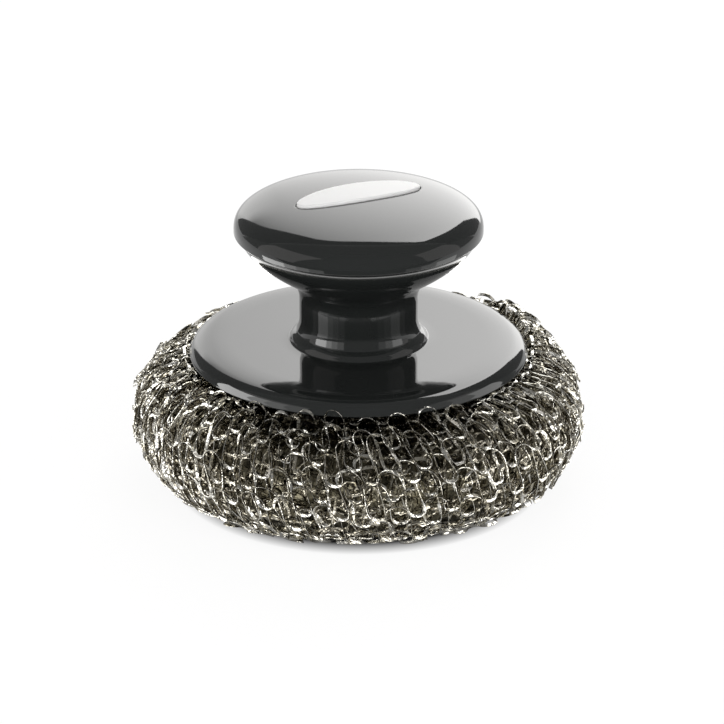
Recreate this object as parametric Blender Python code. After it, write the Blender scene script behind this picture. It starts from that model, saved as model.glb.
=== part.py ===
"""Griddle brush: a palm knob on a flanged neck, clamped to a doughnut pad of knitted steel ribbon.

Units are metres and +Z is up. The origin is on the axis, at the level of the pad's flat sole.
"""
from math import copysign, cos, hypot, pi, radians, sin, tan

import bmesh
import bpy
from mathutils import Matrix, Vector

# Clearances
SEAT_GAP = 0.0003
SLIDE_GAP = 0.0004

# Pad: one knitted tube rolled into a doughnut, as an outer turn, a middle turn and a core.
# Outward from the clamp plate, its sole is a dimple, a flat ring and the round of its side.
PAD_HEIGHT = 0.0301
DIMPLE_WIDTH = 0.0071
SOLE_WIDTH = 0.0076
PAD_SIDE_DEPTH = 0.0184
PAD_SIDE_POWER = 2.4
LAYER_THICKNESS = 0.0026
GATHER_WIRE_RADIUS = 0.0006

# Knit: rows of loops round the pad's side, each a zigzag ridge between two furrows.
# The shares are of the distance from one row to the next.
LOOPS_ROUND = 40
LOOP_ROWS = 7
LOOP_REACH_SHARE = 0.2
RIDGE_SHARE = 0.5
FURROW_DEPTH = 0.0014

# Flange
FLANGE_RADIUS = 0.0377
RIM_THICKNESS = 0.0027
RIM_ROUNDING_SHARE = 0.8
RIM_LOWER_ROUNDING_SHARE = 0.15

# Neck: a straight stretch that flares a little above a skirt
SKIRT_HEIGHT = 0.0027
SKIRT_SPREAD = 0.00155
FLARE_HEIGHT = 0.003
FLARE_SPREAD = 0.0006
NECK_LENGTH = 0.0103
NECK_FILLET = 0.0064
NECK_WALL = 0.00275

# Underside of the knob
UNDERSIDE_SLOPE = radians(31.8)
UNDERSIDE_TUCK = 0.0003
UNDERSIDE_RISE = 0.0037
BODY_WALL = 0.0024
WEB_THICKNESS = 0.003

# Knob cap
KNOB_RADIUS = 0.0276
DOME_HEIGHT = 0.00866
DOME_POWER = 2.92
LIP_DEPTH = 0.0004
LIP_INSET = 0.0009
CAP_SIDE_WALL = 0.0024
CAP_TOP_WALL = 0.0034
RING_WALL = 0.0018
RING_HEIGHT = 0.0015

# Inlay plate
INLAY_HALF_LENGTH = 0.0148
INLAY_HALF_WIDTH = 0.0049
INLAY_ANGLE = radians(25)
INLAY_PROUD = 0.0008
INLAY_EDGE_ROUNDING = 0.0006
INLAY_SEAT_DEPTH = 0.0019
INLAY_PIN_RADIUS = 0.0011
INLAY_PIN_LENGTH = 0.0019
INLAY_PIN_SPACING = 0.018

# Cap screws
CAP_SCREW_COUNT = 3
CAP_SCREW_RADIUS = 0.00125
CAP_SCREW_LENGTH = 0.010
CAP_SCREW_HEAD_RADIUS = 0.0023
CAP_SCREW_HEAD_HEIGHT = 0.0018
CAP_BOSS_WALL = 0.00145

# Clamp plate under the pad
PLATE_RADIUS = 0.017
PLATE_THICKNESS = 0.0024
PLATE_ROUNDING_SHARE = 0.33
PLATE_RECESS = 0.0048
WELL_ROOF = 0.0022
WELL_WALL = 0.0022
FIN_COUNT = 6
FIN_THICKNESS = 0.0016
SPIGOT_LENGTH = 0.0104
SPIGOT_WALL = 0.0016

# Pad bolt with its washers and the threaded insert that it turns into
BOLT_RADIUS = 0.002
BOLT_HEAD_RADIUS = 0.004
BOLT_HEAD_HEIGHT = 0.0026
INSERT_LENGTH = 0.008
INSERT_WALL = 0.0008
INSERT_BOSS_WALL = 0.0016
INSERT_BOSS_DROP = 0.0064
FLAT_WASHER_THICKNESS = 0.0008
SPRING_WASHER_THICKNESS = 0.001
SPRING_WASHER_WIDTH = 0.0013
SPRING_WASHER_GAP_ANGLE = radians(14)
DRIVE_SLOT_WIDTH = 0.0009

# Shares of a screw head's height (rounding, slot depth) or radius (slot reach)
HEAD_ROUNDING_SHARE = 0.4
SLOT_DEPTH_SHARE = 0.55
SLOT_REACH_SHARE = 0.62

# Number of flats round each turned piece, and of steps along its curves
OUTER_FLATS = 48
INNER_FLATS = 24
PLATE_FLATS = 36
BOSS_FLATS = 16
HOLE_FLATS = 12
WIRE_FLATS = 8
CURVE_STEPS = 10
PAD_STEPS = 6
BEND_STEPS = 6
FILLET_STEPS = 4
EDGE_STEPS = 3

# Mesh clean-up after turning, and the angle above which an edge looks sharp
MERGE_DISTANCE = 1e-7
EMPTY_FACE_AREA = 1e-14
SHARP_ANGLE = radians(35)

# Levels, from the floor up
plate_top = PLATE_RECESS + PLATE_THICKNESS
flange_bottom = PAD_HEIGHT + SEAT_GAP
boss_end = flange_bottom - INSERT_BOSS_DROP
roof_top = boss_end - SEAT_GAP
roof_bottom = roof_top - WELL_ROOF
insert_bottom = boss_end + SEAT_GAP
insert_top = insert_bottom + INSERT_LENGTH
flange_top = flange_bottom + RIM_THICKNESS
skirt_top = flange_top + SKIRT_HEIGHT
neck_top = flange_top + NECK_LENGTH
spigot_end = flange_bottom - SPIGOT_LENGTH

# Radii, from the axis out
bolt_hole_radius = BOLT_RADIUS + SEAT_GAP
insert_radius = bolt_hole_radius + INSERT_WALL
insert_hole_radius = insert_radius + SEAT_GAP
insert_boss_radius = insert_hole_radius + INSERT_BOSS_WALL
well_radius = BOLT_HEAD_RADIUS + 2 * SLIDE_GAP
well_outer_radius = well_radius + WELL_WALL
screw_circle_radius = insert_boss_radius + SLIDE_GAP + CAP_SCREW_HEAD_RADIUS
screw_hole_radius = CAP_SCREW_RADIUS + SEAT_GAP
neck_bore_radius = screw_circle_radius + CAP_SCREW_HEAD_RADIUS + SLIDE_GAP
neck_radius = neck_bore_radius + NECK_WALL
spigot_radius = neck_bore_radius + SPIGOT_WALL
pad_bore_radius = spigot_radius + SEAT_GAP
skirt_top_radius = neck_radius + FLARE_SPREAD
skirt_foot_radius = skirt_top_radius + SKIRT_SPREAD
dimple_inner_radius = PLATE_RADIUS + SLIDE_GAP
sole_inner_radius = dimple_inner_radius + DIMPLE_WIDTH
sole_outer_radius = sole_inner_radius + SOLE_WIDTH

# Underside curve of the knob: it leaves the neck fillet at the slope and ends under the cap's lip
slope_start = Vector((neck_radius + NECK_FILLET * (1 - sin(UNDERSIDE_SLOPE)),
                      neck_top + NECK_FILLET * cos(UNDERSIDE_SLOPE)))
body_rim_radius = KNOB_RADIUS - LIP_INSET - SLIDE_GAP
slope_end_radius = body_rim_radius - UNDERSIDE_TUCK
slope_run = slope_end_radius - slope_start.x
slope_end = Vector((slope_end_radius, slope_start.y + tan(UNDERSIDE_SLOPE) * slope_run))
seam_level = slope_end.y + UNDERSIDE_RISE
body_rim = Vector((body_rim_radius, seam_level))
web_top = slope_start.y + BODY_WALL
web_bottom = web_top - WEB_THICKNESS

# Cap levels and radii
lip_bottom = seam_level + SEAT_GAP
equator_level = lip_bottom + LIP_DEPTH
apex_level = equator_level + DOME_HEIGHT
cap_inner_radius = KNOB_RADIUS - CAP_SIDE_WALL
cap_inner_height = DOME_HEIGHT - CAP_TOP_WALL
ring_radius = cap_inner_radius - SEAT_GAP
ring_inner_radius = ring_radius - RING_WALL
recess_level = apex_level - INLAY_SEAT_DEPTH - SEAT_GAP


def clear_scene():
    for item in list(bpy.data.objects):
        bpy.data.objects.remove(item, do_unlink=True)


def material(name, colour, roughness, metallic):
    mat = bpy.data.materials.new(name)
    mat.use_nodes = True
    shader = mat.node_tree.nodes["Principled BSDF"]
    shader.inputs["Base Color"].default_value = (*colour, 1)
    shader.inputs["Roughness"].default_value = roughness
    shader.inputs["Metallic"].default_value = metallic
    mat.diffuse_color = (*colour, 1)
    return mat


def add_object(name, bm, mat, location=(0, 0, 0)):
    bmesh.ops.recalc_face_normals(bm, faces=bm.faces)
    mesh = bpy.data.meshes.new(name)
    bm.to_mesh(mesh)
    bm.free()
    mesh.shade_smooth()
    mesh.set_sharp_from_angle(angle=SHARP_ANGLE)
    mesh.materials.append(mat)
    item = bpy.data.objects.new(name, mesh)
    item.location = location
    item.parent = brush
    bpy.context.scene.collection.objects.link(item)
    return item


def arc(centre, radius, start, end, steps):
    """Points on a circle round centre, from the angle start to the angle end, both included."""
    points = []
    for step in range(steps + 1):
        angle = start + (end - start) * step / steps
        points.append((centre[0] + radius * cos(angle), centre[1] + radius * sin(angle)))
    return points


def bent_line(start, control, end, steps):
    """Points on a quadratic curve that leaves start and reaches end along the lines to control."""
    points = []
    for step in range(steps + 1):
        t = step / steps
        points.append(start * (1 - t) ** 2 + control * 2 * t * (1 - t) + end * t ** 2)
    return points


def turned_mesh(outline, flats):
    """A closed outline of (radius, height) points, spun into a solid round the Z axis."""
    bm = bmesh.new()
    verts = [bm.verts.new((point[0], 0, point[1])) for point in outline]
    edges = []
    for index in range(len(verts)):
        edges.append(bm.edges.new((verts[index - 1], verts[index])))
    bmesh.ops.spin(bm, geom=verts + edges, cent=(0, 0, 0), axis=(0, 0, 1),
                   angle=2 * pi, steps=flats, use_merge=True)
    bmesh.ops.remove_doubles(bm, verts=bm.verts, dist=MERGE_DISTANCE)
    on_axis = [face for face in bm.faces if face.calc_area() < EMPTY_FACE_AREA]
    bmesh.ops.delete(bm, geom=on_axis, context="FACES")
    loose = [edge for edge in bm.edges if not edge.link_faces]
    bmesh.ops.delete(bm, geom=loose, context="EDGES")
    return bm


def turned(name, outline, flats, mat, location=(0, 0, 0)):
    return add_object(name, turned_mesh(outline, flats), mat, location)


def column_mesh(bm, radius, bottom, top, flats, centre=(0, 0)):
    """Adds an upright cylinder to bm."""
    made = bmesh.ops.create_cone(bm, cap_ends=True, segments=flats, radius1=radius,
                                 radius2=radius, depth=top - bottom)
    offset = Vector((centre[0], centre[1], (bottom + top) / 2))
    bmesh.ops.translate(bm, verts=made["verts"], vec=offset)


def block_mesh(bm, low, high, turn=0.0):
    """Adds a box with the corners low and high to bm, turned about the Z axis."""
    made = bmesh.ops.create_cube(bm, size=1)
    for vert in made["verts"]:
        share = vert.co + Vector((0.5, 0.5, 0.5))
        vert.co = Vector([low[i] + (high[i] - low[i]) * share[i] for i in range(3)])
    bmesh.ops.rotate(bm, verts=made["verts"], cent=(0, 0, 0), matrix=Matrix.Rotation(turn, 3, "Z"))


def combine(target, name, bm, operation):
    """Cuts the closed shapes in bm out of target, or joins them to it, with a Boolean."""
    bmesh.ops.recalc_face_normals(bm, faces=bm.faces)
    mesh = bpy.data.meshes.new(name)
    bm.to_mesh(mesh)
    bm.free()
    guide = bpy.data.objects.new(name, mesh)
    guide.hide_render = True
    guide.display_type = "WIRE"
    guide.location = target.location
    guide.parent = brush
    bpy.context.scene.collection.objects.link(guide)
    modifier = target.modifiers.new(name, "BOOLEAN")
    modifier.operation = operation
    modifier.solver = "EXACT"
    modifier.object = guide


def screw_places():
    """Centres of the cap screws; the first is square to the inlay, so none lies under its pins."""
    places = []
    for index in range(CAP_SCREW_COUNT):
        angle = INLAY_ANGLE + pi / 2 + 2 * pi * index / CAP_SCREW_COUNT
        places.append((screw_circle_radius * cos(angle), screw_circle_radius * sin(angle)))
    return places


def dome_level(radius, reach=KNOB_RADIUS, height=DOME_HEIGHT):
    """Height of the dome over the floor at a distance from the axis."""
    return equator_level + height * (1 - (radius / reach) ** 2) ** (1 / DOME_POWER)


def dome_outline(reach, height, steps):
    """The dome's section from the axis to its widest point, with points evenly up its side."""
    points = []
    for step in range(steps + 1):
        angle = pi / 2 * (1 - (1 - step / steps) ** (DOME_POWER / 2))
        radius = reach * sin(angle)
        points.append((radius, dome_level(radius, reach, height)))
    return points


def make_knob_cap(mat):
    outline = dome_outline(KNOB_RADIUS, DOME_HEIGHT, CURVE_STEPS)
    for step in range(1, EDGE_STEPS):
        angle = pi / 2 * step / (EDGE_STEPS - 1)
        outline.append((KNOB_RADIUS - LIP_INSET * (1 - cos(angle)),
                        equator_level - LIP_DEPTH * sin(angle)))
    outline.append((cap_inner_radius, lip_bottom))
    outline += reversed(dome_outline(cap_inner_radius, cap_inner_height, BEND_STEPS))
    cap = turned("knob_cap", outline, OUTER_FLATS, mat)

    boss_bottom = web_top + SEAT_GAP
    boss_radius = screw_hole_radius + CAP_BOSS_WALL
    boss_top = apex_level - CAP_TOP_WALL + SEAT_GAP
    pilot_top = boss_bottom + CAP_SCREW_LENGTH - WEB_THICKNESS + 2 * SLIDE_GAP
    bosses = bmesh.new()
    pilots = bmesh.new()
    for place in screw_places():
        column_mesh(bosses, boss_radius, boss_bottom, boss_top, BOSS_FLATS, place)
        column_mesh(pilots, screw_hole_radius, boss_bottom - BODY_WALL, pilot_top, HOLE_FLATS, place)
    combine(cap, "cap_bosses", bosses, "UNION")
    combine(cap, "cap_pilot_holes", pilots, "DIFFERENCE")

    recess = oval_prism(SEAT_GAP, recess_level, apex_level + DOME_HEIGHT)
    combine(cap, "inlay_recess", recess, "DIFFERENCE")
    pin_holes = bmesh.new()
    for place in pin_places():
        column_mesh(pin_holes, INLAY_PIN_RADIUS + SEAT_GAP, recess_level - 2 * CAP_TOP_WALL,
                    recess_level + SEAT_GAP, HOLE_FLATS, place)
    combine(cap, "inlay_pin_holes", pin_holes, "DIFFERENCE")
    return cap


def oval_point(angle, margin):
    """A point of the inlay's oval, moved out by the margin."""
    along = (INLAY_HALF_LENGTH + margin) * cos(angle)
    across = (INLAY_HALF_WIDTH + margin) * sin(angle)
    return (along * cos(INLAY_ANGLE) - across * sin(INLAY_ANGLE),
            along * sin(INLAY_ANGLE) + across * cos(INLAY_ANGLE))


def oval_ring(bm, margin, level_at):
    """Corners of the oval, each at the height that level_at gives for its distance from the axis."""
    ring = []
    for step in range(OUTER_FLATS):
        x, y = oval_point(2 * pi * step / OUTER_FLATS, margin)
        ring.append(bm.verts.new((x, y, level_at(hypot(x, y)))))
    return ring


def oval_prism(margin, bottom, top):
    bm = bmesh.new()
    lower = oval_ring(bm, margin, lambda radius: bottom)
    upper = oval_ring(bm, margin, lambda radius: top)
    join_rings(bm, [lower, upper])
    bm.faces.new(lower)
    bm.faces.new(upper)
    return bm


def join_rings(bm, rings):
    for lower, upper in zip(rings, rings[1:]):
        for index in range(len(lower)):
            bm.faces.new((lower[index - 1], lower[index], upper[index], upper[index - 1]))


def pin_places():
    half = INLAY_PIN_SPACING / 2
    return [(side * half * cos(INLAY_ANGLE), side * half * sin(INLAY_ANGLE)) for side in (-1, 1)]


def make_inlay_plate(mat):
    """The oval plate: flat below, following the dome above, with a rounded upper edge."""
    bm = bmesh.new()
    bottom = recess_level + SEAT_GAP
    rings = [oval_ring(bm, 0, lambda radius: bottom)]
    for step in range(FILLET_STEPS + 1):
        angle = pi / 2 * step / FILLET_STEPS
        inset = INLAY_EDGE_ROUNDING * (1 - cos(angle))
        rise = INLAY_PROUD - INLAY_EDGE_ROUNDING * (1 - sin(angle))
        rings.append(oval_ring(bm, -inset, lambda radius: dome_level(radius) + rise))
    rings.append(oval_ring(bm, -INLAY_HALF_WIDTH / 2, lambda radius: dome_level(radius) + INLAY_PROUD))
    join_rings(bm, rings)
    bm.faces.new(rings[0])
    centre = bm.verts.new((0, 0, apex_level + INLAY_PROUD))
    last = rings[-1]
    for index in range(len(last)):
        bm.faces.new((last[index - 1], last[index], centre))
    plate = add_object("inlay_plate", bm, mat)
    pins = bmesh.new()
    for place in pin_places():
        column_mesh(pins, INLAY_PIN_RADIUS, bottom - INLAY_PIN_LENGTH, bottom + SEAT_GAP / 2,
                    HOLE_FLATS, place)
    combine(plate, "inlay_pins", pins, "UNION")
    return plate


def body_outline():
    rim_rounding = RIM_THICKNESS * RIM_ROUNDING_SHARE
    lower_rounding = RIM_THICKNESS * RIM_LOWER_ROUNDING_SHARE
    underside = bent_line(body_rim, slope_end, slope_start, BEND_STEPS)
    outline = [tuple(point) for point in underside]
    outline += arc((neck_radius + NECK_FILLET, neck_top), NECK_FILLET,
                   pi / 2 + UNDERSIDE_SLOPE, pi, FILLET_STEPS)[1:]
    flare_start = Vector((neck_radius, skirt_top + FLARE_HEIGHT))
    flare_bend = Vector((neck_radius, skirt_top + FLARE_HEIGHT / 2))
    flare_end = Vector((skirt_top_radius, skirt_top))
    outline += [tuple(point) for point in bent_line(flare_start, flare_bend, flare_end, EDGE_STEPS)]
    outline.append((skirt_foot_radius, flange_top))
    outline += arc((FLANGE_RADIUS - rim_rounding, flange_top - rim_rounding), rim_rounding,
                   pi / 2, 0, FILLET_STEPS)
    outline += [(FLANGE_RADIUS, flange_bottom + lower_rounding),
                (FLANGE_RADIUS - lower_rounding, flange_bottom)]
    outline += [(spigot_radius, flange_bottom), (spigot_radius, spigot_end),
                (neck_bore_radius, spigot_end), (neck_bore_radius, web_bottom),
                (insert_boss_radius, web_bottom), (insert_boss_radius, boss_end),
                (insert_hole_radius, boss_end), (insert_hole_radius, insert_top + INSERT_WALL),
                (0, insert_top + INSERT_WALL), (0, web_top)]
    outline += bowl_outline()
    outline += [(ring_inner_radius, seam_level + RING_HEIGHT),
                (ring_radius, seam_level + RING_HEIGHT), (ring_radius, seam_level)]
    return outline


def bowl_outline():
    """The inside of the knob's lower shell, from the web's edge up to the locating ring."""
    floor_edge = Vector((slope_start.x - BODY_WALL / 2, web_top))
    bend = Vector((ring_inner_radius - UNDERSIDE_TUCK, slope_end.y + BODY_WALL))
    top = Vector((ring_inner_radius, seam_level))
    return [tuple(point) for point in bent_line(floor_edge, bend, top, EDGE_STEPS)]


def make_handle_body(mat):
    body = turned("handle_body", body_outline(), OUTER_FLATS, mat)
    holes = bmesh.new()
    for place in screw_places():
        column_mesh(holes, screw_hole_radius, web_bottom - BODY_WALL, web_top + BODY_WALL / 2,
                    HOLE_FLATS, place)
    combine(body, "web_screw_holes", holes, "DIFFERENCE")
    return body


def pad_side(share, depth):
    """A point of the pad's side at a depth below its surface, from its top (0) to its sole (1)."""
    middle = PAD_HEIGHT / 2
    angle = pi / 2 - pi * share
    out = abs(cos(angle)) ** (2 / PAD_SIDE_POWER)
    up = copysign(abs(sin(angle)) ** (2 / PAD_SIDE_POWER), angle)
    return (sole_outer_radius + (PAD_SIDE_DEPTH - depth) * out, middle + (middle - depth) * up)


def pad_sole(depth):
    """The rest of the section, from the side's lower end over the flat ring and the dimple."""
    points = [(sole_outer_radius, depth)]
    dimple_height = plate_top + SEAT_GAP
    for step in range(BEND_STEPS):
        share = step / (BEND_STEPS - 1)
        rise = share * share * (3 - 2 * share)
        points.append((sole_inner_radius - DIMPLE_WIDTH * share, depth + dimple_height * rise))
    points.append((pad_bore_radius, depth + dimple_height))
    return points


def pad_section(depth):
    """The pad's plain section at a depth below its surface, from the top mouth round to the lower one."""
    side = [pad_side(step / PAD_STEPS, depth) for step in range(1, PAD_STEPS)]
    top = PAD_HEIGHT - depth
    return [(pad_bore_radius, top), (sole_outer_radius, top)] + side + pad_sole(depth)


def knitted_section(turn):
    """The outer layer's section, whose ridges and furrows bend down on even turns and up on odd ones."""
    reach = -LOOP_REACH_SHARE if turn % 2 else LOOP_REACH_SHARE
    ridge_start = 0.5 - RIDGE_SHARE / 2
    side = []
    for row in range(LOOP_ROWS):
        for place, depth in ((0, FURROW_DEPTH), (ridge_start, 0), (ridge_start + RIDGE_SHARE, 0)):
            side.append(pad_side((row + place + reach) / LOOP_ROWS, depth))
    outside = [(pad_bore_radius, PAD_HEIGHT), (sole_outer_radius, PAD_HEIGHT)] + side[1:] + pad_sole(0)
    return outside + pad_section(LAYER_THICKNESS)[::-1]


def make_knitted_layer(mat):
    """The outer layer: its section, changing from turn to turn, joined round in a ring."""
    bm = bmesh.new()
    turns = 2 * LOOPS_ROUND
    rings = []
    for turn in range(turns):
        angle = 2 * pi * turn / turns
        ring = []
        for radius, level in knitted_section(turn):
            ring.append(bm.verts.new((radius * cos(angle), radius * sin(angle), level)))
        rings.append(ring)
    join_rings(bm, rings + rings[:1])
    bmesh.ops.triangulate(bm, faces=bm.faces)
    add_object("pad_outer_layer", bm, mat)


def make_pad(outer_mat, middle_mat, core_mat):
    middle_depth = LAYER_THICKNESS + SEAT_GAP
    core_depth = 2 * middle_depth
    make_knitted_layer(outer_mat)
    middle = pad_section(middle_depth) + pad_section(middle_depth + LAYER_THICKNESS)[::-1]
    turned("pad_middle_layer", middle, INNER_FLATS, middle_mat)
    turned("pad_core_roll", pad_section(core_depth), INNER_FLATS, core_mat)


def make_gather_wire(mat):
    """The wire ring in the pad's mouth, just below the end of the handle's spigot."""
    ring_centre = pad_bore_radius - SEAT_GAP - GATHER_WIRE_RADIUS
    level = spigot_end - SEAT_GAP - GATHER_WIRE_RADIUS
    outline = arc((ring_centre, level), GATHER_WIRE_RADIUS, 0, 2 * pi, WIRE_FLATS)[:-1]
    turned("gather_wire", outline, INNER_FLATS, mat)


def make_clamp_plate(mat):
    rounding = PLATE_THICKNESS * PLATE_ROUNDING_SHARE
    outline = [(bolt_hole_radius, roof_bottom), (well_radius, roof_bottom),
               (well_radius, PLATE_RECESS)]
    outline += arc((PLATE_RADIUS - rounding, PLATE_RECESS + rounding), rounding,
                   -pi / 2, 0, EDGE_STEPS)
    outline += arc((PLATE_RADIUS - rounding, plate_top - rounding), rounding,
                   0, pi / 2, EDGE_STEPS)
    outline += [(well_outer_radius, plate_top), (well_outer_radius, roof_top),
                (bolt_hole_radius, roof_top)]
    plate = turned("clamp_plate", outline, PLATE_FLATS, mat)
    fins = bmesh.new()
    low = (well_outer_radius - WELL_WALL / 2, -FIN_THICKNESS / 2, plate_top - PLATE_THICKNESS / 2)
    high = (neck_bore_radius - SLIDE_GAP, FIN_THICKNESS / 2, roof_top - WELL_ROOF / 2)
    for index in range(FIN_COUNT):
        block_mesh(fins, low, high, 2 * pi * index / FIN_COUNT)
    combine(plate, "clamp_fins", fins, "UNION")
    return plate


def screw(name, shank_radius, length, head_radius, head_height, mat, location, flats):
    """A pan-head screw pointing up, with its origin where the head bears, and a cross slot."""
    corner = head_height * HEAD_ROUNDING_SHARE
    outline = [(0, -head_height)]
    outline += arc((head_radius - corner, corner - head_height), corner, -pi / 2, 0,
                   EDGE_STEPS)
    outline += [(head_radius, 0), (shank_radius, 0), (shank_radius, length - shank_radius / 2),
                (shank_radius / 2, length), (0, length)]
    item = turned(name, outline, flats, mat, location)
    reach = head_radius * SLOT_REACH_SHARE
    half = DRIVE_SLOT_WIDTH / 2
    slot_level = head_height * (SLOT_DEPTH_SHARE - 1)
    for turn in (0, pi / 2):
        slot = bmesh.new()
        block_mesh(slot, (-reach, -half, -2 * head_height), (reach, half, slot_level), turn)
        combine(item, "%s_slot_%d" % (name, round(turn)), slot, "DIFFERENCE")
    return item


def make_cap_screws(mat):
    for index, place in enumerate(screw_places()):
        screw("cap_screw_%d" % (index + 1), CAP_SCREW_RADIUS, CAP_SCREW_LENGTH,
              CAP_SCREW_HEAD_RADIUS, CAP_SCREW_HEAD_HEIGHT, mat,
              (place[0], place[1], web_bottom - SEAT_GAP), HOLE_FLATS)


def make_bolt_set(bolt_mat, insert_mat):
    flat_top = roof_bottom - SEAT_GAP
    flat_bottom = flat_top - FLAT_WASHER_THICKNESS
    spring_top = flat_bottom - SEAT_GAP
    spring_bottom = spring_top - SPRING_WASHER_THICKNESS
    head_seat = spring_bottom - SEAT_GAP
    washer_radius = BOLT_HEAD_RADIUS + SLIDE_GAP
    turned("flat_washer", [(bolt_hole_radius, flat_bottom), (washer_radius, flat_bottom),
                           (washer_radius, flat_top), (bolt_hole_radius, flat_top)],
           INNER_FLATS, bolt_mat)
    spring_washer(bolt_hole_radius, bolt_hole_radius + SPRING_WASHER_WIDTH, spring_bottom,
                  spring_top, bolt_mat)
    screw("pad_bolt", BOLT_RADIUS, insert_top - head_seat, BOLT_HEAD_RADIUS, BOLT_HEAD_HEIGHT,
          bolt_mat, (0, 0, head_seat), INNER_FLATS)
    turned("threaded_insert", [(bolt_hole_radius, insert_bottom), (insert_radius, insert_bottom),
                               (insert_radius, insert_top), (bolt_hole_radius, insert_top)],
           INNER_FLATS, insert_mat)


def spring_washer(inner, outer, bottom, top, mat):
    """A split washer: a square section swept round, with its two ends apart."""
    bm = bmesh.new()
    rings = []
    for step in range(INNER_FLATS + 1):
        swept = (2 * pi - SPRING_WASHER_GAP_ANGLE) * step / INNER_FLATS
        angle = SPRING_WASHER_GAP_ANGLE / 2 + swept
        ring = []
        for radius, level in ((inner, bottom), (outer, bottom), (outer, top), (inner, top)):
            ring.append(bm.verts.new((radius * cos(angle), radius * sin(angle), level)))
        rings.append(ring)
    join_rings(bm, rings)
    bm.faces.new(rings[0])
    bm.faces.new(rings[-1])
    add_object("spring_washer", bm, mat)


def main():
    gloss_black = material("gloss_black_cap", (0.012, 0.013, 0.014), 0.07, 0.0)
    body_black = material("gloss_black_body", (0.012, 0.013, 0.014), 0.08, 0.0)
    white = material("white_inlay", (0.86, 0.86, 0.85), 0.3, 0.0)
    knit = material("knitted_steel_outer", (0.32, 0.30, 0.26), 0.3, 1.0)
    knit_middle = material("knitted_steel_middle", (0.27, 0.25, 0.22), 0.35, 1.0)
    knit_core = material("knitted_steel_core", (0.2, 0.19, 0.17), 0.4, 1.0)
    steel = material("zinc_steel", (0.6, 0.6, 0.6), 0.3, 1.0)
    wire = material("tie_wire_steel", (0.5, 0.5, 0.5), 0.35, 1.0)
    brass = material("brass", (0.75, 0.58, 0.28), 0.3, 1.0)
    plate_black = material("moulded_black_plate", (0.02, 0.02, 0.022), 0.45, 0.0)

    make_knob_cap(gloss_black)
    make_inlay_plate(white)
    make_handle_body(body_black)
    make_pad(knit, knit_middle, knit_core)
    make_gather_wire(wire)
    make_clamp_plate(plate_black)
    make_cap_screws(steel)
    make_bolt_set(steel, brass)


clear_scene()
brush = bpy.data.objects.new("griddle_brush", None)
bpy.context.scene.collection.objects.link(brush)
main()
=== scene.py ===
"""Looks of the griddle brush: a glossy black palm knob and flange on a doughnut pad of knitted steel ribbon.

Units are metres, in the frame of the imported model: +Z up, with the pad's sole at height 0.
"""
from math import copysign, cos, hypot, pi, radians, sin, tan

import bpy
import numpy as np
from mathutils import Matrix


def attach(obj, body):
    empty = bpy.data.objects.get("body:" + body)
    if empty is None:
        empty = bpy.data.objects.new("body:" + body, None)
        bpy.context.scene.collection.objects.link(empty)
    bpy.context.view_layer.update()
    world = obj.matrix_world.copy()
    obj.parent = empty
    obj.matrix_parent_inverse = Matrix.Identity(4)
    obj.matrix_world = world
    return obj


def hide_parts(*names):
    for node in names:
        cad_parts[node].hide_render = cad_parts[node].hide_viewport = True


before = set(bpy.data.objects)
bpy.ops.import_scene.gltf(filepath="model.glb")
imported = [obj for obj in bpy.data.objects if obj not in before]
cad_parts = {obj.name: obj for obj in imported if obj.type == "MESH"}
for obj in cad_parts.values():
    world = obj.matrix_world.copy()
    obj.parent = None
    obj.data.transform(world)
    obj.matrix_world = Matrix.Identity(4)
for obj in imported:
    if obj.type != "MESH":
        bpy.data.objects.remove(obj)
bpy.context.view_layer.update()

# Camera, fitted to the photograph's outline
PICTURE_PIXELS = 724
SENSOR_MM = 36.0
CAMERA_DISTANCE = 0.850
CAMERA_HEIGHT = 0.3870
CAMERA_PITCH = radians(22.92)
CAMERA_FOCAL_PIXELS = 4132.0
AXIS_OFFSET_PIXELS = -3.4
CAMERA_CLIP = (0.01, 20.0)

# Handle body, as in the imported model
BODY_SEGMENTS = 256
FLANGE_RADIUS = 0.0377
FLANGE_BOTTOM = 0.0304
FLANGE_TOP = 0.0331
RIM_LOWER_ROUNDING = 0.0004
SPIGOT_RADIUS = 0.0120
SPIGOT_BOTTOM = 0.0200
NECK_RADIUS = 0.01315
NECK_BORE_RADIUS = 0.0104
NECK_BORE_TOP = 0.0483
NECK_TOP = 0.0434
NECK_FILLET = 0.0064
SKIRT_HEIGHT = 0.0027
SKIRT_TOP_RADIUS = 0.01375
SKIRT_FOOT_RADIUS = 0.0153
SKIRT_BULGE = 0.00025
SKIRT_SEAT = 0.0005
SKIRT_SEAT_START = 1.15 * pi
FLARE_HEIGHT = 0.003
UNDERSIDE_SLOPE = radians(31.8)
UNDERSIDE_TUCK = 0.0003
BODY_RIM_RADIUS = 0.0263
SEAM_LEVEL = 0.05863
INSIDE_SLOPE = ((0.0142, 0.0513), (0.0200, 0.0549))
SEAT_RING_RADII = (0.0231, 0.0249)
SEAT_RING_HEIGHT = 0.0015

# How finely the handle body's turned line is stepped
UNDERSIDE_STEPS = 30
FILLET_STEPS = 20
FLARE_STEPS = 14
SKIRT_STEPS = 10
SKIRT_SEAT_STEPS = 5
FLANGE_FLAT_STEPS = 6
RIM_ROUNDING_STEPS = 6

# Crown of the flange: its top slopes more and more towards the rim, in degrees at these radii
FLANGE_CROWN = 0.0338
CROWN_RADII = (0.0285, 0.0310, 0.0326, 0.0341, 0.0348, 0.0353, 0.0360, 0.0366, 0.0371, 0.0375)
CROWN_SLOPES = (0, 2.6, 5.5, 10, 16.5, 22, 28, 38, 52, 68)
CROWN_STEPS = 59

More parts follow.
